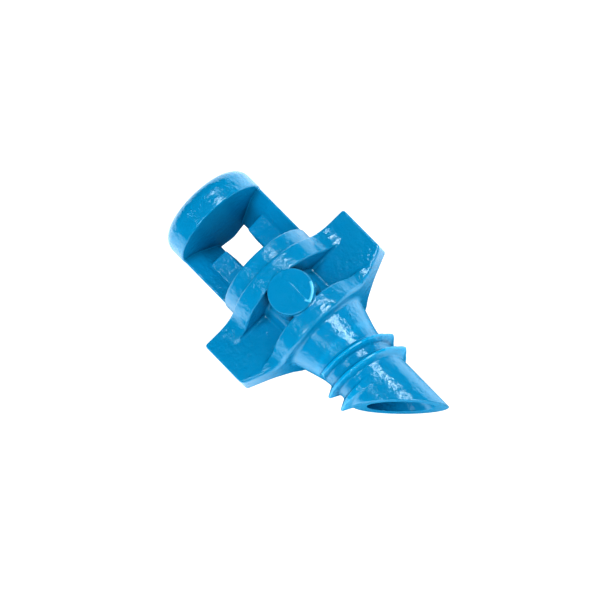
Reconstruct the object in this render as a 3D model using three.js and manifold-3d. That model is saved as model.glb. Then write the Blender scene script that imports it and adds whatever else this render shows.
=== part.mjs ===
// Screw-in micro spray jet: one moulding, built as solids that meet at its feature lines.
// Millimetres. X runs along the water passage from the deflector head towards the pointed
// inlet, Y runs along the grip wings and Z out of the front boss.
import * as THREE from 'three';
import { mergeVertices } from 'three/addons/utils/BufferGeometryUtils.js';
import Module from 'manifold-3d';

const wasm = await Module();
wasm.setup();

const ROUND = 72; // facets round a full circle
const ARC = 10; // facets along a softened edge or a blend
const BEYOND = 30; // longer than the whole part, for shapes that only cut
const OVERRUN = 1; // how far a hole or a blank runs past the end it is cut off at
const WELD = 1e-5; // points closer than this are one point

// Deflector head and the two posts that carry it
const HEAD_R = 2.87;
const HEAD_THICK = 1.62;
const HEAD_EDGE = 0.7;
const POST_R = 2.83; // the outsides of the posts
const POST_LENGTH = 3.42;
const FAN_HEIGHT = 0.95; // open height between the head and the shelf under it
const SLOT_HALF = 0.745; // half the width of the slot between the posts
const POCKET_FOOT_HALF = 0.87; // the same, at the back of the fan opening
const POCKET_BACK = -2.1; // how far back the fan opening reaches
const STRIP_INNER = 2.05; // where the outer strip of a post gives way to its recess
const STRIP_FRONT = 0.3; // front of the strip at the outside of the post
const STRIP_LEAN = 0.55; // how much lower the strip is at its inner side
const SHELF_STEP = 0.17; // drop from the strip to the panel below the fan opening
const SHELF_LEAN = 0.18; // how much lower the panel is beside the slot

// Nozzle collar, and the grip: two flanges, two wings
const COLLAR_R = 2.9;
const COLLAR_LENGTH = 0.98;
const FLANGE_THICK = 1.06;
const FLANGE_GAP = 2.04;
const UPPER_FLANGE_R = 3.2;
const LOWER_FLANGE_R = 3.08;
const WING_SPAN = 10.46;
const WING_THICK = 1.4;
const WING_LENGTH = 3.0; // along the side edge of a wing
const WING_CORNER = 0.25;
const BLEND_R = 1.65; // hollow blend between a flange and a wing
const CHEVRON_LENGTH = 1.25; // how much further the lower flange reaches at its middle
const CHEVRON_HALF = 2.35; // half the width of that middle
const LOWER_EDGE = 0.3; // bevel round the lower edge of the lower flange

// Core and bosses between the flanges
const CORE_R = 1.83;
const BOSS_R = 1.27;
const BOSS_FACE = 3.35;
const BOSS_OFFSET = 0.12;

// Inlet: cone, stem and bevelled tip
const CONE_R = 2.4;
const CONE_LENGTH = 1.8;
const STEM_R = 1.84;
const BORE_R = 1.3;
const ORIFICE_R = 0.5;
const THROAT_LENGTH = 1.4; // taper between the orifice and the bore
const OVERALL_LENGTH = 17.85;

// Two-start thread
const CREST_R = 2.42; // at the mould seams, where the ridges come to a point
const RIDGE_R = 2.24; // between the seams
const SEAM_SPREAD = 0.28; // sine of the angle over which the point falls away
const RIDGE_SPACING = 0.99;
const RIDGE_ROOT = 0.54; // width where a ridge leaves the stem
const RIDGE_TOP = 0.12; // width at its crest
const RIDGE_SUNK = 0.1; // how deep a ridge is rooted in the stem before it is trimmed
const THREAD_START = 11.82;
const THREAD_TURNS = 1.25;
const FADE_IN = 0.1; // turns over which a ridge reaches full height
const FADE_OUT = 0.18;
const END_HEIGHT = 0.2; // share of its height that a ridge has at its ends

// Display colour
const BLUE = [0.01, 0.3, 0.62];
const PALER = 1.1;
const DEEPER = 0.9;

// Stations along the axis
const UNDERSIDE = HEAD_THICK;
const SHELF = UNDERSIDE + FAN_HEIGHT;
const COLLAR_TOP = UNDERSIDE + POST_LENGTH;
const GRIP_TOP = COLLAR_TOP + COLLAR_LENGTH;
const GAP_TOP = GRIP_TOP + FLANGE_THICK;
const GAP_BOTTOM = GAP_TOP + FLANGE_GAP;
const CONE_TOP = GRIP_TOP + WING_LENGTH + CHEVRON_LENGTH;
const STEM_TOP = CONE_TOP + CONE_LENGTH;
const BOSS_X = (GAP_TOP + GAP_BOTTOM) / 2;
const WING_END = WING_SPAN / 2;
const WING_FACE = WING_THICK / 2;

function toSolid(geometry) {
  const bare = geometry.clone();
  bare.deleteAttribute('normal');
  bare.deleteAttribute('uv');
  const joined = mergeVertices(bare, WELD);
  return new wasm.Manifold(new wasm.Mesh({
    numProp: 3,
    vertProperties: new Float32Array(joined.attributes.position.array),
    triVerts: new Uint32Array(joined.index.array),
  }));
}

function toGeometry(solid) {
  const mesh = solid.getMesh();
  const geometry = new THREE.BufferGeometry();
  const positions = new Float32Array(mesh.vertProperties);
  geometry.setAttribute('position', new THREE.BufferAttribute(positions, 3));
  geometry.setIndex(new THREE.BufferAttribute(new Uint32Array(mesh.triVerts), 1));
  const faceted = geometry.toNonIndexed();
  faceted.computeVertexNormals();
  return faceted;
}

// A solid of revolution about X, from a list of [x, radius] that starts and ends on the axis
function turned(profile) {
  const points = profile.map(([x, radius]) => new THREE.Vector2(radius, -x)).reverse();
  const geometry = new THREE.LatheGeometry(points, ROUND);
  geometry.rotateZ(Math.PI / 2);
  return toSolid(geometry);
}

function cylinderX(radius, from, to) {
  return turned([[from, 0], [from, radius], [to, radius], [to, 0]]);
}

function extruded(outline, length) {
  return new THREE.ExtrudeGeometry(outline, {
    depth: length,
    bevelEnabled: false,
    curveSegments: ARC,
  });
}

// An outline drawn in [y, z], pushed along X
function alongX(outline, from, to) {
  const geometry = extruded(outline, to - from);
  const axes = new THREE.Matrix4().makeBasis(
    new THREE.Vector3(0, 1, 0),
    new THREE.Vector3(0, 0, 1),
    new THREE.Vector3(1, 0, 0),
  );
  geometry.applyMatrix4(axes);
  geometry.translate(from, 0, 0);
  return toSolid(geometry);
}

// An outline drawn in [x, y], pushed along Z
function alongZ(outline, from, to) {
  const geometry = extruded(outline, to - from);
  geometry.translate(0, 0, from);
  return toSolid(geometry);
}

function outlineOf(points) {
  return new THREE.Shape(points.map(([a, b]) => new THREE.Vector2(a, b)));
}

// The water passage: orifice, throat and bore
const passage = turned([
  [COLLAR_TOP - OVERRUN, 0],
  [COLLAR_TOP - OVERRUN, ORIFICE_R],
  [GAP_TOP, ORIFICE_R],
  [GAP_TOP + THROAT_LENGTH, BORE_R],
  [OVERALL_LENGTH + OVERRUN, BORE_R],
  [OVERALL_LENGTH + OVERRUN, 0],
]);

function deflectorHead() {
  const edge = [];
  for (let i = 0; i <= ARC; i += 1) {
    const turn = (i / ARC) * (Math.PI / 2);
    edge.push([
      HEAD_EDGE * (1 - Math.sin(turn)),
      HEAD_R - HEAD_EDGE * (1 - Math.cos(turn)),
    ]);
  }
  return turned([[0, 0], ...edge.reverse(), [UNDERSIDE, HEAD_R], [UNDERSIDE, 0]]);
}

// One post. Above the shelf its wall slants back, so the spray fans out over the front half
function post(side) {
  const outside = POST_R + OVERRUN;
  const stripInner = STRIP_FRONT - STRIP_LEAN;
  const strip = [
    [side * outside, STRIP_FRONT],
    [side * POST_R, STRIP_FRONT],
    [side * STRIP_INNER, stripInner],
  ];
  const back = [side * outside, -outside];
  const fanWall = outlineOf([
    ...strip,
    [side * POCKET_FOOT_HALF, POCKET_BACK],
    [side * POCKET_FOOT_HALF, -outside],
    back,
  ]);
  const panel = outlineOf([
    ...strip,
    [side * STRIP_INNER, stripInner - SHELF_STEP],
    [side * SLOT_HALF, stripInner - SHELF_STEP - SHELF_LEAN],
    [side * SLOT_HALF, -outside],
    back,
  ]);
  return alongX(fanWall, UNDERSIDE, SHELF)
    .add(alongX(panel, SHELF, COLLAR_TOP))
    .intersect(cylinderX(POST_R, UNDERSIDE, COLLAR_TOP));
}

function nozzleCollar() {
  return cylinderX(COLLAR_R, COLLAR_TOP, GRIP_TOP).subtract(passage);
}

// A round flange flowing into both wings through hollow blends, drawn in [y, z]
function flangeOutline(radius) {
  const rise = WING_FACE + BLEND_R;
  const blendY = Math.sqrt((radius + BLEND_R) ** 2 - rise ** 2);
  const lean = Math.atan2(rise, blendY);
  const outline = new THREE.Shape();
  outline.moveTo(-WING_END, WING_FACE);
  outline.lineTo(-WING_END, -WING_FACE);
  outline.absarc(-blendY, -rise, BLEND_R, Math.PI / 2, lean, true);
  outline.absarc(0, 0, radius, Math.PI + lean, 2 * Math.PI - lean, false);
  outline.absarc(blendY, -rise, BLEND_R, Math.PI - lean, Math.PI / 2, true);
  outline.lineTo(WING_END, -WING_FACE);
  outline.lineTo(WING_END, WING_FACE);
  outline.absarc(blendY, rise, BLEND_R, 1.5 * Math.PI, Math.PI + lean, true);
  outline.absarc(0, 0, radius, lean, Math.PI - lean, false);
  outline.absarc(-blendY, rise, BLEND_R, -lean, -Math.PI / 2, true);
  return outline;
}

// The grip seen from the front, drawn in [x, y]: square at the head end, a chevron below
function gripPlan() {
  const plan = new THREE.Shape();
  const corner = WING_CORNER;
  plan.moveTo(GRIP_TOP + WING_LENGTH, -WING_END);
  plan.lineTo(CONE_TOP, -CHEVRON_HALF);
  plan.lineTo(CONE_TOP, CHEVRON_HALF);
  plan.lineTo(GRIP_TOP + WING_LENGTH, WING_END);
  plan.absarc(GRIP_TOP + corner, WING_END - corner, corner, Math.PI / 2, Math.PI, false);
  plan.absarc(GRIP_TOP + corner, corner - WING_END, corner, Math.PI, 1.5 * Math.PI, false);
  return plan;
}

const grip = alongZ(gripPlan(), -BEYOND, BEYOND);
const core = cylinderX(CORE_R, GAP_TOP, GAP_BOTTOM);

function upperFlange() {
  return alongX(flangeOutline(UPPER_FLANGE_R), GRIP_TOP, GAP_TOP)
    .intersect(grip)
    .subtract(passage);
}

function lowerFlange() {
  const edgeCone = turned([
    [CONE_TOP - BEYOND, 0],
    [CONE_TOP - BEYOND, LOWER_FLANGE_R - LOWER_EDGE + BEYOND],
    [CONE_TOP, LOWER_FLANGE_R - LOWER_EDGE],
    [CONE_TOP, 0],
  ]);
  const wingPlate = outlineOf([
    [-WING_END, -WING_FACE],
    [WING_END, -WING_FACE],
    [WING_END, WING_FACE],
    [-WING_END, WING_FACE],
  ]);
  return alongX(flangeOutline(LOWER_FLANGE_R), GAP_BOTTOM, CONE_TOP)
    .intersect(edgeCone)
    .add(alongX(wingPlate, GAP_BOTTOM, CONE_TOP))
    .intersect(grip)
    .subtract(passage);
}

function wing(side) {
  const plate = outlineOf([
    [GAP_TOP, 0],
    [GAP_BOTTOM, 0],
    [GAP_BOTTOM, side * BEYOND],
    [GAP_TOP, side * BEYOND],
  ]);
  return alongZ(plate, -WING_FACE, WING_FACE).intersect(grip).subtract(core);
}

function boss(side) {
  const disc = new THREE.Shape();
  disc.absarc(BOSS_X, BOSS_OFFSET, BOSS_R, 0, 2 * Math.PI, false);
  const geometry = new THREE.ExtrudeGeometry(disc, {
    depth: BOSS_FACE,
    bevelEnabled: false,
    curveSegments: ROUND,
  });
  if (side < 0) geometry.translate(0, 0, -BOSS_FACE);
  return toSolid(geometry)
    .subtract(core)
    .subtract(alongX(flangeOutline(UPPER_FLANGE_R), GRIP_TOP, GAP_TOP))
    .subtract(alongX(flangeOutline(LOWER_FLANGE_R), GAP_BOTTOM, CONE_TOP));
}

// Everything beyond the slanting cut that makes the point
const beyondBevel = alongZ(outlineOf([
  [OVERALL_LENGTH, STEM_R],
  [OVERALL_LENGTH - BEYOND, STEM_R - BEYOND],
  [OVERALL_LENGTH + BEYOND, STEM_R - BEYOND],
  [OVERALL_LENGTH + BEYOND, STEM_R],
]), -BEYOND, BEYOND);

const stemBlank = turned([
  [CONE_TOP, 0],
  [CONE_TOP, CONE_R],
  [STEM_TOP, STEM_R],
  [OVERALL_LENGTH + OVERRUN, STEM_R],
  [OVERALL_LENGTH + OVERRUN, 0],
]);

function inletStem() {
  return stemBlank.subtract(beyondBevel).subtract(passage);
}

// Crest radius of a ridge at an angle round the stem: a point at each seam, on +Y and -Y
function crestAt(angle) {
  const nearSeam = Math.max(0, 1 - Math.abs(Math.sin(angle)) / SEAM_SPREAD);
  return RIDGE_R + (CREST_R - RIDGE_R) * nearSeam;
}

// One ridge wound round the stem from a start angle, where 0 is +Y and a quarter turn is +Z
function threadRidge(startAngle) {
  const sunk = STEM_R - RIDGE_SUNK;
  const section = outlineOf([
    [0, -RIDGE_ROOT / 2],
    [1, -RIDGE_TOP / 2],
    [1, RIDGE_TOP / 2],
    [0, RIDGE_ROOT / 2],
  ]);
  const geometry = new THREE.ExtrudeGeometry(section, {
    depth: THREAD_TURNS,
    steps: Math.round(ROUND * THREAD_TURNS),
    bevelEnabled: false,
  });
  const corners = geometry.attributes.position;
  for (let i = 0; i < corners.count; i += 1) {
    const turns = corners.getZ(i);
    const fade = Math.min(1, turns / FADE_IN, (THREAD_TURNS - turns) / FADE_OUT);
    const angle = startAngle - turns * 2 * Math.PI;
    const height = (crestAt(angle) - sunk) * (END_HEIGHT + (1 - END_HEIGHT) * fade);
    const radius = sunk + corners.getX(i) * height;
    const station = THREAD_START + turns * 2 * RIDGE_SPACING + corners.getY(i);
    corners.setXYZ(i, station, radius * Math.cos(angle), radius * Math.sin(angle));
  }
  return toSolid(geometry).subtract(stemBlank);
}

const part = new THREE.Group();
part.name = 'micro_spray_jet';

function add(name, solid, shade = 1) {
  const material = new THREE.MeshStandardMaterial({
    color: new THREE.Color(...BLUE).multiplyScalar(shade),
    roughness: 0.3,
  });
  const mesh = new THREE.Mesh(toGeometry(solid), material);
  mesh.name = name;
  part.add(mesh);
}

add('deflector_head', deflectorHead());
add('left_post', post(-1), DEEPER);
add('right_post', post(1), DEEPER);
add('nozzle_collar', nozzleCollar());
add('upper_flange', upperFlange(), PALER);
add('lower_flange', lowerFlange(), PALER);
add('left_wing', wing(-1), DEEPER);
add('right_wing', wing(1), DEEPER);
add('centre_barrel', core.subtract(passage));
add('front_boss', boss(1), PALER);
add('rear_boss', boss(-1), PALER);
add('inlet_stem', inletStem());
add('thread_ridge_1', threadRidge(Math.PI), PALER);
add('thread_ridge_2', threadRidge(0), PALER);

export default part;
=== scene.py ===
"""A screw-in micro spray jet, moulded in one glossy blue plastic, as a product photograph.

The shape is a distance field in millimetres, one short function per feature, so that edges and
inner corners get the soft radii of a moulding. It is meshed once, divided into the CAD's nodes
at the frame's own stations, and scaled to metres.
"""

import math

import bpy
import numpy as np
from mathutils import Matrix, Vector


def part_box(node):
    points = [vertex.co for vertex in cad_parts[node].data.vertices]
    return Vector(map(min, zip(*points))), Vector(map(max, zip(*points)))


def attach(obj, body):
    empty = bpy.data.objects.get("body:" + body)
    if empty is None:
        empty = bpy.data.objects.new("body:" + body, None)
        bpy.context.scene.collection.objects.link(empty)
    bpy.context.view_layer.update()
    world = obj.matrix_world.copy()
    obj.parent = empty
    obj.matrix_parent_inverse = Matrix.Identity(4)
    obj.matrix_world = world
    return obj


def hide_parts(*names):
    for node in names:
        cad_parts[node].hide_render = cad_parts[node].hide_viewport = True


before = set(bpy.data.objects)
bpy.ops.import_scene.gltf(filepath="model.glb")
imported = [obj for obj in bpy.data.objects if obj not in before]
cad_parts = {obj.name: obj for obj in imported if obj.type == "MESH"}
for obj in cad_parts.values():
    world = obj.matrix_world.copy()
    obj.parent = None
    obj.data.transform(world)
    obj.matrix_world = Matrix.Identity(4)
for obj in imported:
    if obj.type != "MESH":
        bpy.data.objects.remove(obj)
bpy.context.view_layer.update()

MM = 0.001
GRID = 0.05  # mesh spacing
MARGIN = 3.3 * GRID  # how far the mesh's grid reaches beyond the part


def low(node, axis):
    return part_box(node)[0]["xyz".index(axis)] / MM


def high(node, axis):
    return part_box(node)[1]["xyz".index(axis)] / MM


# Stations along the axis and sizes across it, from the CAD
UNDERSIDE = high("deflector_head", "x")
COLLAR_TOP = low("nozzle_collar", "x")
GRIP_TOP = low("upper_flange", "x")
GAP_TOP = high("upper_flange", "x")
GAP_BOTTOM = low("lower_flange", "x")
CONE_TOP = low("inlet_stem", "x")
TIP = high("inlet_stem", "x")
HEAD_R = high("deflector_head", "z")
POST_R = high("right_post", "y")
COLLAR_R = high("nozzle_collar", "z")
UPPER_FLANGE_R = high("upper_flange", "z")
LOWER_FLANGE_R = high("lower_flange", "z")
WING_END = high("right_wing", "y")
WING_FACE = high("right_wing", "z")
CORE_R = high("centre_barrel", "z")
BOSS_X = (low("front_boss", "x") + high("front_boss", "x")) / 2
BOSS_Y = (low("front_boss", "y") + high("front_boss", "y")) / 2
BOSS_R = (high("front_boss", "x") - low("front_boss", "x")) / 2
BOSS_FACE = high("front_boss", "z") - 0.03  # the gate's marks stand above it
CONE_R = high("inlet_stem", "z")
CREST_R = high("thread_ridge_1", "y")
THREAD_TOP = CONE_TOP + 1.55

# Sizes the CAD's boxes don't hold
STEM_R = 0.76 * CREST_R
BORE_R = 0.7 * STEM_R
ORIFICE_R = 0.17 * COLLAR_R
STEM_TOP = CONE_TOP + 1.8
SHELF = UNDERSIDE + 0.95
SLOT_HALF = 0.26 * HEAD_R  # half the slot's width at its back
SLOT_DRAFT = 0.03  # how much that half grows per millimetre towards the front
SLOT_STEP = 0.12  # how much more it is above the shelf than at the slot's back
STRIP_INNER = (0.714 * HEAD_R, -0.25)  # across and front, where a strip meets the fan's wall
STRIP_OUTER = (HEAD_R, 0.3)
FAN_FOOT = (0.87, -2.1)  # the back end of the fan's wall
PANEL_INNER = (SLOT_HALF, -0.6)
PANEL_OUTER = (STRIP_INNER[0], -0.42)
HEAD_SWELL = 0.09  # how far the head's underside rises beside its middle, at the back
SWELL_INNER = 0.55  # it starts about this far from the middle
SWELL_OUTER = 1.6  # and dies away about this far from it
WING_LENGTH = 3.0
SLANT_ALONG = 0.917  # the grip's slanting lower edge faces this much along the axis
SLANT_ACROSS = 0.398  # and this much outward
FLANGE_SLOPE = 0.045  # of the upper flange's underside
BOSS_DRAFT = 0.015
GATE_LIP = 0.07  # how far the gate's lip lies inside the rim of the boss
THROAT_LENGTH = 1.4
RIDGE_SPACING = 0.99
THREAD_LAPS = 1.25
FADE_START = 0.02  # where a ridge starts to rise, in laps
FADE_IN = 0.09
FADE_OUT = 0.18
RIDGE_SUNK = 0.12  # how deep a ridge is rooted in the stem
RIDGE_TOP = 0.06  # half the width of a ridge's crest
FLANK_ALONG = 0.88  # its sides face this much along the axis
FLANK_OUTWARD = 0.47  # and this much outward
SEAM_POINT = 0.18  # how much further the ridges stand out at the mould seams
SEAM_SPREAD = 0.28  # sine of the angle over which that point falls away
CONE_EASE = 0.15  # how gently the cone runs into the stem, in square millimetres
THROAT_COSINE = 0.85  # keeps distances about true beside the sloping throat
OVERLAP = 0.2  # how far the collar and the core run on inside their neighbours
POST_OVERLAP = 0.3
GATE_SCAR = ((0.95, 0.25), (1.2, 0.38))  # from the middle of the boss
GATE_LINE = ((-0.4, 0.28), (0.95, 0.3))

# Radii of the moulding's edges and inner corners
SOFT_EDGE = 0.12
CRISP_EDGE = 0.06
CORNER = 0.16
RIM_EDGE = 0.1
POINT_EDGE = 0.03
HOLE_EDGE = 0.04
HEAD_EDGE = 0.7
WING_CORNER = 0.25
BLEND = 1.65  # hollow arc between a flange and a wing
LOWER_EDGE_BACK = 0.08
LOWER_EDGE_FRONT = 0.22
FILLET_START = 0.3  # a flange's fillet grows from nothing this far inside an edge
POST_FILLET = 0.04
COLLAR_FILLET = 0.1
CORE_FILLET = 0.1
GRIP_FILLET = 0.08
BOSS_FILLET = 0.06
GATE_FILLET = 0.03
RIDGE_FILLET = 0.07


# ---- Distance fields: negative inside, in millimetres ----

def join(a, b, radius):
    """Both shapes, with a fillet where they meet."""
    u = np.maximum(radius - a, 0)
    v = np.maximum(radius - b, 0)
    return np.maximum(radius, np.minimum(a, b)) - np.sqrt(u * u + v * v)


def common(a, b, radius):
    """What lies in both shapes, with its new edge rounded."""
    u = np.maximum(radius + a, 0)
    v = np.maximum(radius + b, 0)
    return np.minimum(-radius, np.maximum(a, b)) + np.sqrt(u * u + v * v)


def between(value, start, end):
    return np.abs(value - (start + end) / 2) - (end - start) / 2


def disc(x, y, z, radius, start, end, edge):
    return common(np.hypot(y, z) - radius, between(x, start, end), edge)


def below_line(across, height, start, end):
    """The side of a sloping line towards lower height; the line runs outward from start to end."""
    run = end[0] - start[0]
    rise = end[1] - start[1]
    return ((height - start[1]) * run - (across - start[0]) * rise) / math.hypot(run, rise)


def deflector_head(x, y, z):
    outer = common(np.hypot(y, z) - HEAD_R, -x, HEAD_EDGE)
    at_back = np.clip(-z / HEAD_R, 0, 1) ** 2
    beside_middle = (1 - np.exp(-(y / SWELL_INNER) ** 2)) * np.exp(-(y / SWELL_OUTER) ** 2)
    return common(outer, x - UNDERSIDE + HEAD_SWELL * at_back * beside_middle, RIM_EDGE)


def posts(x, y, z):
    """Both posts: a strip outside, a fan wall slanting back above the shelf, a panel below it."""
    across = np.abs(y)
    strip = below_line(across, z, STRIP_INNER, STRIP_OUTER)
    fan_wall = below_line(across, z, FAN_FOOT, STRIP_INNER)
    panel = below_line(across, z, PANEL_INNER, PANEL_OUTER)
    slot = SLOT_HALF + SLOT_DRAFT * (z + HEAD_R) - across
    upper = common(strip, fan_wall, 0.15)
    upper = common(upper, SLOT_HALF + SLOT_STEP - across, SOFT_EDGE)
    lower = common(strip, STRIP_INNER[0] - across, SOFT_EDGE)
    lower = join(lower, panel, 0.12)
    lower = common(lower, slot, 0.1)
    lower = common(lower, SHELF - x, SOFT_EDGE)
    section = join(upper, lower, 0.05)
    section = common(section, np.hypot(y, z) - POST_R, SOFT_EDGE)
    return np.maximum(section, between(x, UNDERSIDE - POST_OVERLAP, COLLAR_TOP + POST_OVERLAP))


def flange_section(y, z, radius):
    """A round flange flowing into both wings through hollow arcs."""
    centre_z = WING_FACE + BLEND
    centre_y = math.sqrt((radius + BLEND) ** 2 - centre_z ** 2)
    inward = centre_y - np.abs(y)
    down = centre_z - np.abs(z)
    in_arc = (inward > 0) & (down > 0) & (inward * centre_z < down * centre_y)
    plain = np.minimum(np.hypot(y, z) - radius, np.abs(z) - WING_FACE)
    return np.where(in_arc, BLEND - np.hypot(inward, down), plain)


def chevron(x, y):
    """The grip's lower edge in plan: straight across the middle, slanting up to each wing end."""
    below_wing = x - GRIP_TOP - WING_LENGTH
    slant = SLANT_ALONG * below_wing + SLANT_ACROSS * (np.abs(y) - WING_END)
    return common(slant, x - CONE_TOP, 0.5)


def emergence(y, radius):
    """The most that a flange's fillet can be, where it only just stands out of the wing."""
    return np.clip(-2 * flange_section(y, WING_FACE, radius), 0, CORNER)


def grip(x, y, z):
    """Both flanges and both wings, with the core inside them."""
    ends = np.abs(y) - WING_END
    top = GRIP_TOP - x
    lower_edge = chevron(x, y)
    # The lower edge is crisp at the back and at the parting line, and softer in front of it.
    in_front = np.clip((z - 0.1) / 0.4, 0, 1)
    edge = LOWER_EDGE_BACK + (LOWER_EDGE_FRONT - LOWER_EDGE_BACK) * in_front
    upper_end = GAP_TOP + FLANGE_SLOPE * (UPPER_FLANGE_R - np.abs(z))
    upper = flange_section(y, z, UPPER_FLANGE_R)
    upper = common(upper, between(x, GRIP_TOP, upper_end), SOFT_EDGE)
    upper = common(upper, ends, CORNER)
    lower = common(flange_section(y, z, LOWER_FLANGE_R), GAP_BOTTOM - x, SOFT_EDGE)
    lower = common(lower, lower_edge, edge)
    lower = common(lower, ends, SOFT_EDGE)
    plate = common(np.abs(z) - WING_FACE, common(top, ends, WING_CORNER), SOFT_EDGE)
    plate = common(plate, lower_edge, edge)
    core_length = between(x, GRIP_TOP + OVERLAP, CONE_TOP - OVERLAP)
    core = np.maximum(np.hypot(y, z) - CORE_R, core_length)
    from_top = np.maximum(-top - FILLET_START, 0)
    from_bottom = np.maximum(-lower_edge - FILLET_START, 0)
    upper_fillet = np.minimum(emergence(y, UPPER_FLANGE_R), from_top)
    lower_fillet = np.minimum(emergence(y, LOWER_FLANGE_R), from_bottom)
    shape = join(plate, core, CORE_FILLET)
    shape = join(shape, upper, upper_fillet)
    return join(shape, lower, lower_fillet)


def bosses(x, y, z):
    """A round boss in front and the same behind, a little narrower at its face."""
    side = np.hypot(x - BOSS_X, y - BOSS_Y) - BOSS_R
    beyond_face = np.abs(z) - BOSS_FACE
    return common(side + BOSS_DRAFT * beyond_face, beyond_face, CRISP_EDGE)


def bead(x, y, z, start, end, radius):
    """A thin round bead on the boss face between two places, given as (x, y) from its middle."""
    u = x - BOSS_X - start[0]
    v = y - BOSS_Y - start[1]
    run = (end[0] - start[0], end[1] - start[1])
    share = np.clip((u * run[0] + v * run[1]) / (run[0] ** 2 + run[1] ** 2), 0, 1)
    return np.sqrt((u - share * run[0]) ** 2 + (v - share * run[1]) ** 2 + z * z) - radius


def gate_marks(x, y, z):
    """What the gate left on the front boss: a lip along the rim, a scar and a fine line."""
    u = x - BOSS_X
    v = y - BOSS_Y
    height = z - BOSS_FACE
    ring = np.hypot(np.hypot(u, v) - (BOSS_R - GATE_LIP), height) - 0.08
    lip = common(ring, np.maximum(0.35 - v, 0.3 * v - 0.9 * u), 0.03)
    scar = bead(x, y, height, *GATE_SCAR, 0.06)
    line = bead(x, y, height + 0.034, *GATE_LINE, 0.038)
    return np.minimum(np.minimum(lip, scar), line)


def stem_body(x, y, z):
    """The cone, running smoothly into the stem."""
    slope = (CONE_R - STEM_R) / (STEM_TOP - CONE_TOP)
    run = STEM_TOP - x
    widening = slope * (run + np.sqrt(run * run + CONE_EASE)) / 2
    side = (np.hypot(y, z) - STEM_R - widening) / math.sqrt(1 + slope * slope)
    return np.maximum(side, CONE_TOP - 0.4 - x)


def thread_ridge(x, y, z, start_angle):
    """One ridge: a tooth section followed round the stem for a turn and a quarter."""
    radius = np.hypot(y, z)
    turn = np.mod((start_angle - np.arctan2(z, y)) / (2 * math.pi), 1)
    beside_seam = np.abs(z) / np.maximum(radius, 0.1)
    tip = CREST_R - SEAM_POINT * np.clip(beside_seam / SEAM_SPREAD, 0, 1)
    shape = np.full_like(x, 9.0)
    for lap in (0, 1):
        wound = turn + lap
        fade = np.minimum((wound - FADE_START) / FADE_IN, (THREAD_LAPS - wound) / FADE_OUT)
        crest = STEM_R + (tip - STEM_R) * np.clip(fade, -0.4, 1)
        beside = np.abs(x - THREAD_TOP - 2 * RIDGE_SPACING * wound)
        flank = FLANK_ALONG * (beside - RIDGE_TOP) + FLANK_OUTWARD * (radius - tip)
        shape = np.minimum(shape, common(flank, radius - crest, 0.05))
    return np.maximum(shape, STEM_R - RIDGE_SUNK - radius)


def beyond_bevel(x, y):
    """The slanting cut that makes the point."""
    return ((x - TIP) - (y - STEM_R)) / math.sqrt(2)


def passage(x, y, z):
    """Orifice, throat and bore, as one hole."""
    throat = np.clip((x - GAP_TOP) / THROAT_LENGTH, 0, 1)
    hole = np.hypot(y, z) - ORIFICE_R - (BORE_R - ORIFICE_R) * throat
    return np.maximum(THROAT_COSINE * hole, COLLAR_TOP - 0.5 - x)


def jet(x, y, z):
    """The whole moulding."""
    head = join(deflector_head(x, y, z), posts(x, y, z), POST_FILLET)
    collar = disc(x, y, z, COLLAR_R, COLLAR_TOP, GRIP_TOP + OVERLAP, SOFT_EDGE)
    shape = join(head, collar, COLLAR_FILLET)
    shape = join(shape, grip(x, y, z), GRIP_FILLET)
    shape = join(shape, bosses(x, y, z), BOSS_FILLET)
    shape = join(shape, gate_marks(x, y, z), GATE_FILLET)
    shape = join(shape, stem_body(x, y, z), CORNER)
    shape = common(shape, beyond_bevel(x, y), POINT_EDGE)
    shape = join(shape, thread_ridge(x, y, z, math.pi), RIDGE_FILLET)
    shape = join(shape, thread_ridge(x, y, z, 0.0), RIDGE_FILLET)
    return common(shape, -passage(x, y, z), HOLE_EDGE)


# ---- Meshing ----

def sample_grid():
    """The field on a grid that surrounds the part, worked out a few layers at a time."""
    corner = np.array([0, -WING_END, -BOSS_FACE]) - MARGIN
    size = np.array([TIP, 2 * WING_END, 2 * BOSS_FACE]) + 2 * MARGIN
    counts = np.ceil(size / GRID).astype(int) + 1
    y, z = np.meshgrid(
        corner[1] + GRID * np.arange(counts[1]),
        corner[2] + GRID * np.arange(counts[2]),
        indexing="ij",
    )
    values = np.empty(counts, np.float32)
    batch = 16
    for first in range(0, counts[0], batch):
        x = corner[0] + GRID * np.arange(first, min(first + batch, counts[0]))
        x = np.broadcast_to(x[:, None, None], (len(x),) + y.shape)
        values[first:first + batch] = jet(x, y[None] + 0 * x, z[None] + 0 * x)
    return corner, values


def slope_at(points, step=0.01):
    """The field's slope, by central differences."""
    slope = np.empty_like(points)
    for axis in range(3):
        shift = np.zeros(3)
        shift[axis] = step
        ahead = jet(*(points + shift).T)
        behind = jet(*(points - shift).T)
        slope[:, axis] = (ahead - behind) / (2 * step)
    return slope


def onto_surface(points, reach):
    """The points moved to where the field is zero, none of them further than reach."""
    start = points.copy()
    for _ in range(4):
        slope = slope_at(points)
        steepness = np.maximum((slope * slope).sum(1), 0.1)
        points = points - slope * (jet(*points.T) / steepness)[:, None]
        moved = points - start
        length = np.maximum(np.linalg.norm(moved, axis=1), 1e-9)
        points = start + moved * np.minimum(1, reach / length)[:, None]
    return points


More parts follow.
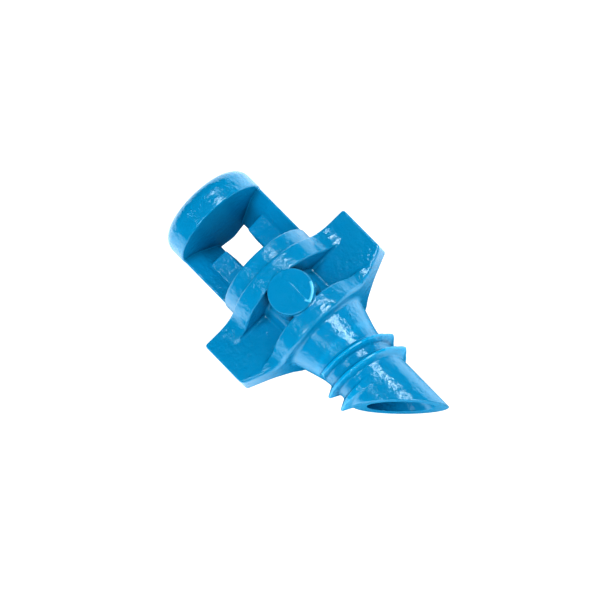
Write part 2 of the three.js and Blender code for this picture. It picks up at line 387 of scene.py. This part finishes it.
def surface_net():
    """One vertex in each grid cell that the surface crosses, one quad on each crossed edge."""
    corner, values = sample_grid()
    inside = values < 0
    corners = [(i, j, k) for i in (0, 1) for j in (0, 1) for k in (0, 1)]
    cells = np.array(values.shape) - 1
    count = np.zeros(cells, np.uint8)
    for i, j, k in corners:
        count += inside[i:i + cells[0], j:j + cells[1], k:k + cells[2]]
    crossed = np.argwhere((count > 0) & (count < 8))
    total = np.zeros((len(crossed), 3))
    hits = np.zeros(len(crossed))
    for a in corners:
        for axis in range(3):
            if a[axis]:
                continue
            b = tuple(c + (n == axis) for n, c in enumerate(a))
            va = values[tuple((crossed + a).T)]
            vb = values[tuple((crossed + b).T)]
            hit = (va < 0) != (vb < 0)
            share = np.where(hit, va / np.where(hit, va - vb, 1), 0)
            spot = np.repeat(np.array([a], float), len(crossed), 0)
            spot[:, axis] += share
            total += spot * hit[:, None]
            hits += hit
    points = corner + GRID * (crossed + total / hits[:, None])
    number = np.full(cells, -1, np.int32)
    number[tuple(crossed.T)] = np.arange(len(crossed))
    quads = []
    for axis in range(3):
        u, v = (axis + 1) % 3, (axis + 2) % 3
        here = [slice(None)] * 3
        here[axis] = slice(0, -1)
        there = [slice(None)] * 3
        there[axis] = slice(1, None)
        change = inside[tuple(here)] != inside[tuple(there)]
        edges = np.argwhere(change)
        outward = inside[tuple(edges.T)]
        ring = []
        for du, dv in ((0, 0), (1, 0), (1, 1), (0, 1)):
            cell = edges.copy()
            cell[:, u] -= du
            cell[:, v] -= dv
            ring.append(number[tuple(cell.T)])
        quad = np.stack(ring, 1)
        quad[~outward] = quad[~outward][:, ::-1]
        quads.append(quad)
    return onto_surface(points, 0.8 * GRID), np.concatenate(quads)


def mesh_object(name, points, faces):
    mesh = bpy.data.meshes.new(name)
    sides = faces.shape[1]
    mesh.vertices.add(len(points))
    mesh.vertices.foreach_set("co", np.asarray(points, np.float32).ravel())
    mesh.loops.add(faces.size)
    mesh.loops.foreach_set("vertex_index", faces.astype(np.int32).ravel())
    mesh.polygons.add(len(faces))
    mesh.polygons.foreach_set("loop_start", np.arange(0, faces.size, sides, dtype=np.int32))
    mesh.update(calc_edges=True)
    thing = bpy.data.objects.new(name, mesh)
    bpy.context.scene.collection.objects.link(thing)
    return thing


# ---- Dividing the moulding at the CAD's nodes ----

FAR = 20  # beyond every side of the part


def block(start, end):
    """A cutting box between two corners."""
    (x0, y0, z0), (x1, y1, z1) = start, end
    points = [(x, y, z) for x in (x0, x1) for y in (y0, y1) for z in (z0, z1)]
    faces = [(0, 1, 3, 2), (4, 6, 7, 5), (0, 4, 5, 1), (2, 3, 7, 6), (0, 2, 6, 4), (1, 5, 7, 3)]
    return mesh_object("cutter", np.array(points, float), np.array(faces))


def boss_column(side):
    """A cutting column round a boss, outward from the core."""
    steps = 96
    turns = np.arange(steps) * 2 * math.pi / steps
    ring_x = BOSS_X + (BOSS_R + 0.03) * np.cos(turns)
    ring_y = BOSS_Y + (BOSS_R + 0.03) * np.sin(turns)
    start, end = sorted((side * (CORE_R + 0.02), side * (BOSS_FACE + 1)))
    points = np.concatenate([
        np.column_stack([ring_x, ring_y, np.full(steps, start)]),
        np.column_stack([ring_x, ring_y, np.full(steps, end)]),
        [(BOSS_X, BOSS_Y, start), (BOSS_X, BOSS_Y, end)],
    ])
    start_middle = 2 * steps
    end_middle = start_middle + 1
    faces = []
    for i in range(steps):
        j = (i + 1) % steps
        faces.append((i, j, steps + j))
        faces.append((i, steps + j, steps + i))
        faces.append((start_middle, j, i))
        faces.append((end_middle, steps + i, steps + j))
    return mesh_object("cutter", points, np.array(faces))


def cut(thing, cutter, keep):
    """A new object: thing with the cutter's part kept ("INTERSECT") or taken away."""
    modifier = thing.modifiers.new("cut", "BOOLEAN")
    modifier.operation = keep
    modifier.solver = "MANIFOLD"
    modifier.object = cutter
    graph = bpy.context.evaluated_depsgraph_get()
    mesh = bpy.data.meshes.new_from_object(thing.evaluated_get(graph), depsgraph=graph)
    thing.modifiers.remove(modifier)
    result = bpy.data.objects.new("cut", mesh)
    bpy.context.scene.collection.objects.link(result)
    return result


def drop(*things):
    for thing in things:
        mesh = thing.data
        bpy.data.objects.remove(thing)
        bpy.data.meshes.remove(mesh)


def thread_band(start_angle):
    """A cutting band that follows one ridge, half the spacing to each side of it."""
    steps = 120
    inner = STEM_R - 0.05
    outer = CREST_R + 0.5
    half = RIDGE_SPACING / 2 - 0.08
    points = []
    for i in range(steps + 1):
        wound = THREAD_LAPS * i / steps
        angle = start_angle - 2 * math.pi * wound
        middle = THREAD_TOP + 2 * RIDGE_SPACING * wound
        for shift, radius in ((-half, inner), (half, inner), (half, outer), (-half, outer)):
            points.append((middle + shift, radius * math.cos(angle), radius * math.sin(angle)))
    faces = []
    for i in range(steps):
        for j in range(4):
            a = 4 * i + j
            b = 4 * i + (j + 1) % 4
            faces.append((a, a + 4, b + 4, b))
    last = 4 * steps
    faces.append((0, 1, 2, 3))
    faces.append((last + 3, last + 2, last + 1, last))
    return mesh_object("cutter", np.array(points), np.array(faces))


def trimmed(thing, cutter, keep="INTERSECT"):
    """Cuts thing, throws it and nothing else away, and keeps the cutter for another cut."""
    result = cut(thing, cutter, keep)
    drop(thing)
    return result


def slab(whole, start, end, y=(-FAR, FAR)):
    """What lies between two stations along the axis, and between two places across it."""
    cutter = block((start, y[0], -FAR), (end, y[1], FAR))
    result = cut(whole, cutter, "INTERSECT")
    drop(cutter)
    return result


def divided(whole):
    """Every CAD node's share of the moulding.

    Each cut is a little beyond a corner's fillet, where it crosses the walls squarely.
    """
    clear = CORNER + 0.02
    head_end = UNDERSIDE + 0.15
    posts_end = COLLAR_TOP - clear
    collar_end = GRIP_TOP - 0.12
    upper_end = GAP_TOP + clear
    lower_start = GAP_BOTTOM - clear
    lower_end = CONE_TOP + clear
    parts = {
        "deflector_head": slab(whole, -1, head_end),
        "left_post": slab(whole, head_end, posts_end, (-FAR, 0)),
        "right_post": slab(whole, head_end, posts_end, (0, FAR)),
        "nozzle_collar": slab(whole, posts_end, collar_end),
    }
    upper = slab(whole, collar_end, upper_end)
    middle = slab(whole, upper_end, lower_start)
    lower = slab(whole, lower_start, lower_end)
    for node, side in (("front_boss", 1), ("rear_boss", -1)):
        column = boss_column(side)
        parts[node] = cut(whole, column, "INTERSECT")
        upper = trimmed(upper, column, "DIFFERENCE")
        middle = trimmed(middle, column, "DIFFERENCE")
        lower = trimmed(lower, column, "DIFFERENCE")
        drop(column)
    wing_start = CORE_R + 0.1
    parts["upper_flange"] = upper
    parts["lower_flange"] = lower
    parts["left_wing"] = slab(middle, -FAR, FAR, (-FAR, -wing_start))
    parts["right_wing"] = slab(middle, -FAR, FAR, (wing_start, FAR))
    parts["centre_barrel"] = slab(middle, -FAR, FAR, (-wing_start, wing_start))
    drop(middle)
    stem = slab(whole, lower_end, TIP + 1)
    for node, start_angle in (("thread_ridge_1", math.pi), ("thread_ridge_2", 0.0)):
        band = thread_band(start_angle)
        parts[node] = cut(stem, band, "INTERSECT")
        stem = trimmed(stem, band, "DIFFERENCE")
        drop(band)
    parts["inlet_stem"] = stem
    return parts


def shade_like_field(mesh):
    """Corner normals from the field, so that the seams between pieces don't show."""
    points = np.empty(3 * len(mesh.vertices), np.float32)
    mesh.vertices.foreach_get("co", points)
    slope = slope_at(points.reshape(-1, 3).astype(float))
    slope /= np.maximum(np.linalg.norm(slope, axis=1), 1e-9)[:, None]
    centres = np.empty(3 * len(mesh.polygons), np.float32)
    mesh.polygons.foreach_get("center", centres)
    centres = centres.reshape(-1, 3).astype(float)
    flat = np.empty(3 * len(mesh.polygons), np.float32)
    mesh.polygons.foreach_get("normal", flat)
    flat = flat.reshape(-1, 3)
    sides = np.empty(len(mesh.polygons), np.int32)
    mesh.polygons.foreach_get("loop_total", sides)
    facing = slope_at(centres)
    facing /= np.maximum(np.linalg.norm(facing, axis=1), 1e-9)[:, None]
    is_cut = (jet(*centres.T) < -0.015) | ((facing * flat).sum(1) < 0.5)
    vertex = np.empty(len(mesh.loops), np.int32)
    mesh.loops.foreach_get("vertex_index", vertex)
    normals = slope[vertex]
    on_cut = np.repeat(is_cut, sides)
    normals[on_cut] = np.repeat(flat, sides, axis=0)[on_cut]
    mesh.polygons.foreach_set("use_smooth", np.ones(len(mesh.polygons), bool))
    mesh.normals_split_custom_set(normals)


# ---- Shader nodes ----

def add_node(tree, kind, inputs, **settings):
    """A new node. An input given as another node's output is linked, any other is set."""
    node = tree.nodes.new(kind)
    for name, value in settings.items():
        setattr(node, name, value)
    for name, value in inputs.items():
        if isinstance(value, bpy.types.NodeSocket):
            tree.links.new(value, node.inputs[name])
        else:
            node.inputs[name].default_value = value
    return node


def ramp(tree, value, start, end, first=0, last=1, smooth=False):
    """first up to start, last from end on, and evenly or smoothly between them."""
    kind = "SMOOTHSTEP" if smooth else "LINEAR"
    inputs = {
        "Value": value,
        "From Min": start,
        "From Max": end,
        "To Min": first,
        "To Max": last,
    }
    node = add_node(tree, "ShaderNodeMapRange", inputs, interpolation_type=kind)
    return node.outputs["Result"]


def mixed(tree, factor, a, b):
    inputs = {"Factor": factor, "A": a, "B": b}
    return add_node(tree, "ShaderNodeMix", inputs, data_type="RGBA").outputs["Result"]


def vector_math(tree, operation, *inputs):
    return add_node(tree, "ShaderNodeVectorMath", dict(enumerate(inputs)), operation=operation)


def noise(tree, place, scale, detail):
    inputs = {"Vector": place, "Scale": scale / MM, "Detail": detail}
    return add_node(tree, "ShaderNodeTexNoise", inputs).outputs["Fac"]


# ---- Material ----

BLUE = (0, 0.25, 0.44, 1)
BRIGHT_BLUE = (0, 0.28, 0.49, 1)
RIDGE_GLOW_BLUE = (0, 0.38, 0.64, 1)  # painted light: the ridges are painted paler, standing in for light shining through them
GATE_HIGHLIGHT_BLUE = (0.16, 0.62, 0.85, 1)  # painted highlight on whatever stands above the boss face
NOISE_LOW = 0.3  # most of a noise lies between these two
NOISE_HIGH = 0.7


def plastic_colour(tree, place):
    """Blue, with painted light: a painted glow on the ridges, a painted highlight at the gate,
    painted shade in inner corners.
    """
    colour = mixed(tree, noise(tree, place, 0.6, 3), BLUE, BRIGHT_BLUE)
    axes = add_node(tree, "ShaderNodeSeparateXYZ", {"Vector": place}).outputs
    across = vector_math(tree, "MULTIPLY", place, (0, 1, 1)).outputs["Vector"]
    radius = vector_math(tree, "LENGTH", across).outputs["Value"]
    # Painted light: where the ridges stand out below the cone, they are painted paler to stand in
    # for light shining through them.
    standing_out = ramp(tree, radius, (STEM_R + 0.03) * MM, (CREST_R - 0.15) * MM)
    below_cone = ramp(tree, axes["X"], (THREAD_TOP - 0.5) * MM, (THREAD_TOP - 0.3) * MM)
    both = {0: standing_out, 1: below_cone}
    on_ridge = add_node(tree, "ShaderNodeMath", both, operation="MULTIPLY").outputs["Value"]
    colour = mixed(tree, on_ridge, colour, RIDGE_GLOW_BLUE)
    # Painted highlight: the gate's marks, standing above the boss face, are painted paler.
    above_boss = ramp(tree, axes["Z"], (BOSS_FACE + 0.005) * MM, (BOSS_FACE + 0.045) * MM)
    colour = mixed(tree, above_boss, colour, GATE_HIGHLIGHT_BLUE)
    # Painted shade: the colour is darkened in inner corners, pockets and recesses, where ambient
    # occlusion finds them within a millimetre.
    corners = add_node(tree, "ShaderNodeAmbientOcclusion", {"Distance": MM}, samples=8)
    corner_shade = ramp(tree, corners.outputs["AO"], 0.3, 0.7, 0.15, 1)
    shaded_colour = vector_math(tree, "SCALE", colour)
    tree.links.new(corner_shade, shaded_colour.inputs["Scale"])
    return shaded_colour.outputs["Vector"]


def blue_plastic():
    """Glossy plastic with a slightly uneven, here and there scuffed skin."""
    material = bpy.data.materials.new("blue_plastic")
    material.use_nodes = True
    tree = material.node_tree
    place = tree.nodes.new("ShaderNodeTexCoord").outputs["Object"]
    roughness = ramp(tree, noise(tree, place, 2.5, 4), NOISE_LOW, NOISE_HIGH, 0.06, 0.17)
    skin = {
        "Height": noise(tree, place, 3.5, 4),
        "Distance": 0.075 * MM,
        "Strength": ramp(tree, noise(tree, place, 0.7, 2), NOISE_LOW, NOISE_HIGH, 0.25, 1),
    }
    bump = add_node(tree, "ShaderNodeBump", skin)
    shader = tree.nodes["Principled BSDF"]
    tree.links.new(plastic_colour(tree, place), shader.inputs["Base Color"])
    tree.links.new(roughness, shader.inputs["Roughness"])
    tree.links.new(bump.outputs["Normal"], shader.inputs["Normal"])
    return material


# ---- Building ----

points, quads = surface_net()
moulding = mesh_object("moulding", points, quads)
plastic = blue_plastic()
for node, piece in divided(moulding).items():
    shade_like_field(piece.data)
    piece.data.transform(Matrix.Scale(MM, 4))
    piece.name = node + "_moulded"
    piece.data.materials.clear()
    piece.data.materials.append(plastic)
    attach(piece, "root")
    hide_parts(node)
drop(moulding)


# ---- Stage ----

VIEW_TILT = math.radians(18)  # the camera leans this far from straight above towards the tip
VIEW_ROLL = math.radians(45.45)  # how far the axis points below the picture's level
AXIS_AIM = (6.99, 0, 0)  # the camera looks at this place, moved by the next two
AIM_RIGHT = 0.618
AIM_DOWN = 0.403
FRAME_WIDTH = 32.26
LENS = 400
SENSOR = 36

MIRRORED_LIGHT = (0.85, 0.97, 1)
SOFT_LIGHT = (0.62, 0.87, 1)
LIGHT_DISTANCE = 130
FLOOR_SIZE = 3000
FLOOR_Z = -BOSS_FACE - 0.01

toward_camera = Vector((math.sin(VIEW_TILT), 0, math.cos(VIEW_TILT)))
along = Vector((math.cos(VIEW_TILT), 0, -math.sin(VIEW_TILT)))
beside = Vector((0, 1, 0))
right = along * math.cos(VIEW_ROLL) + beside * math.sin(VIEW_ROLL)
up = beside * math.cos(VIEW_ROLL) - along * math.sin(VIEW_ROLL)


def add_camera():
    data = bpy.data.cameras.new("camera")
    data.lens = LENS
    data.sensor_width = SENSOR
    data.clip_start = 0.01
    data.clip_end = 10
    camera = bpy.data.objects.new("camera", data)
    bpy.context.scene.collection.objects.link(camera)
    aim = Vector(AXIS_AIM) + right * AIM_RIGHT - up * AIM_DOWN
    distance = FRAME_WIDTH * LENS / SENSOR
    camera.location = (aim + toward_camera * distance) * MM
    camera.rotation_mode = "QUATERNION"
    camera.rotation_quaternion = Matrix((right, up, toward_camera)).transposed().to_quaternion()
    bpy.context.scene.camera = camera


def add_softbox(name, direction, width, length, brightness, mirrored):
    """A flat light aimed at the middle of the part, its length along the part's axis.

    A mirrored one shows only as a reflection. Any other one only gives soft light.
    """
    data = bpy.data.lights.new(name, "AREA")
    data.shape = "RECTANGLE"
    data.size = width * MM
    data.size_y = length * MM
    data.energy = brightness * math.pi * width * length * MM ** 2
    data.color = MIRRORED_LIGHT if mirrored else SOFT_LIGHT
    light = bpy.data.objects.new(name, data)
    bpy.context.scene.collection.objects.link(light)
    away = Vector(direction).normalized()
    lengthwise = (Vector((1, 0, 0)) - away * away.x).normalized()
    light.location = (Vector((TIP / 2, 0, 0)) + away * LIGHT_DISTANCE) * MM
    light.rotation_mode = "QUATERNION"
    turn = Matrix((lengthwise.cross(away), lengthwise, away)).transposed()
    light.rotation_quaternion = turn.to_quaternion()
    light.visible_glossy = mirrored
    light.visible_diffuse = not mirrored


def floor_material():
    """White to the camera; to the part, dark blue with a painted shadow beneath it and a painted
    glow further out.
    """
    material = bpy.data.materials.new("floor")
    material.use_nodes = True
    tree = material.node_tree
    place = tree.nodes.new("ShaderNodeTexCoord").outputs["Object"]
    middle = (TIP / 2 * MM, 0, FLOOR_Z * MM)
    from_middle = vector_math(tree, "SUBTRACT", place, middle).outputs["Vector"]
    squeezed = vector_math(tree, "MULTIPLY", from_middle, (0.45, 1, 0)).outputs["Vector"]
    distance = vector_math(tree, "LENGTH", squeezed).outputs["Value"]
    # Painted shadow and glow: the floor's emission, seen only by the part, is nothing close under
    # it and grows further out.
    glow = ramp(tree, distance, 3 * MM, 8 * MM, 0, 1.7, smooth=True)
    shader = tree.nodes["Principled BSDF"]
    shader.inputs["Base Color"].default_value = (0.02, 0.3, 0.45, 1)
    shader.inputs["Roughness"].default_value = 0.9
    shader.inputs["Emission Color"].default_value = (1, 1, 1, 1)
    tree.links.new(glow, shader.inputs["Emission Strength"])
    white = add_node(tree, "ShaderNodeEmission", {"Strength": 1.05})
    path = tree.nodes.new("ShaderNodeLightPath")
    inputs = {
        "Fac": path.outputs["Is Camera Ray"],
        1: shader.outputs["BSDF"],
        2: white.outputs["Emission"],
    }
    mix = add_node(tree, "ShaderNodeMixShader", inputs)
    tree.links.new(mix.outputs["Shader"], tree.nodes["Material Output"].inputs["Surface"])
    return material


def add_floor():
    sides = ((-1, -1), (1, -1), (1, 1), (-1, 1))
    points = [(x * FLOOR_SIZE * MM, y * FLOOR_SIZE * MM, FLOOR_Z * MM) for x, y in sides]
    floor = mesh_object("floor", np.array(points), np.array([(0, 1, 2, 3)]))
    floor.data.materials.append(floor_material())


def add_surround():
    """A pale room that the plastic's mirror reflections see darker than its shading does."""
    world = bpy.data.worlds.new("surround")
    world.use_nodes = True
    tree = world.node_tree
    path = tree.nodes.new("ShaderNodeLightPath")
    background = tree.nodes["Background"]
    background.inputs["Color"].default_value = (0.2, 0.8, 1, 1)
    strength = ramp(tree, path.outputs["Is Glossy Ray"], 0, 1, 0.13, 0.04)
    tree.links.new(strength, background.inputs["Strength"])
    bpy.context.scene.world = world


# Name, direction, width, length, brightness, and whether it shows as a reflection
SOFTBOXES = (
    ("key", (-0.08, 0.54, 0.84), 44, 56, 13, True),
    ("fill", (-0.08, -0.5, 0.86), 14, 50, 8, True),
    ("low_key", (0.24, 0.57, 0.78), 46, 36, 12, True),
    ("low_fill", (0.24, -0.5, 0.83), 10, 36, 7, True),
    ("edge_key", (0.6, 0.36, 0.7), 30, 60, 13, True),
    ("edge_fill", (0.58, -0.42, 0.7), 30, 50, 8, True),
    ("front_sky", (-0.02, -0.04, 1), 100, 84, 3.7, False),
    ("left_sky", (0.04, -0.85, 0.5), 100, 100, 2.7, False),
    ("right_sky", (0.04, 0.85, 0.5), 100, 100, 2.6, False),
    ("low_sky", (0.75, 0, 0.66), 60, 60, 2.4, False),
)

add_camera()
for softbox in SOFTBOXES:
    add_softbox(*softbox)
add_floor()
add_surround()
bpy.context.scene.view_settings.view_transform = "Standard"
bpy.context.scene.view_settings.look = "Medium High Contrast"
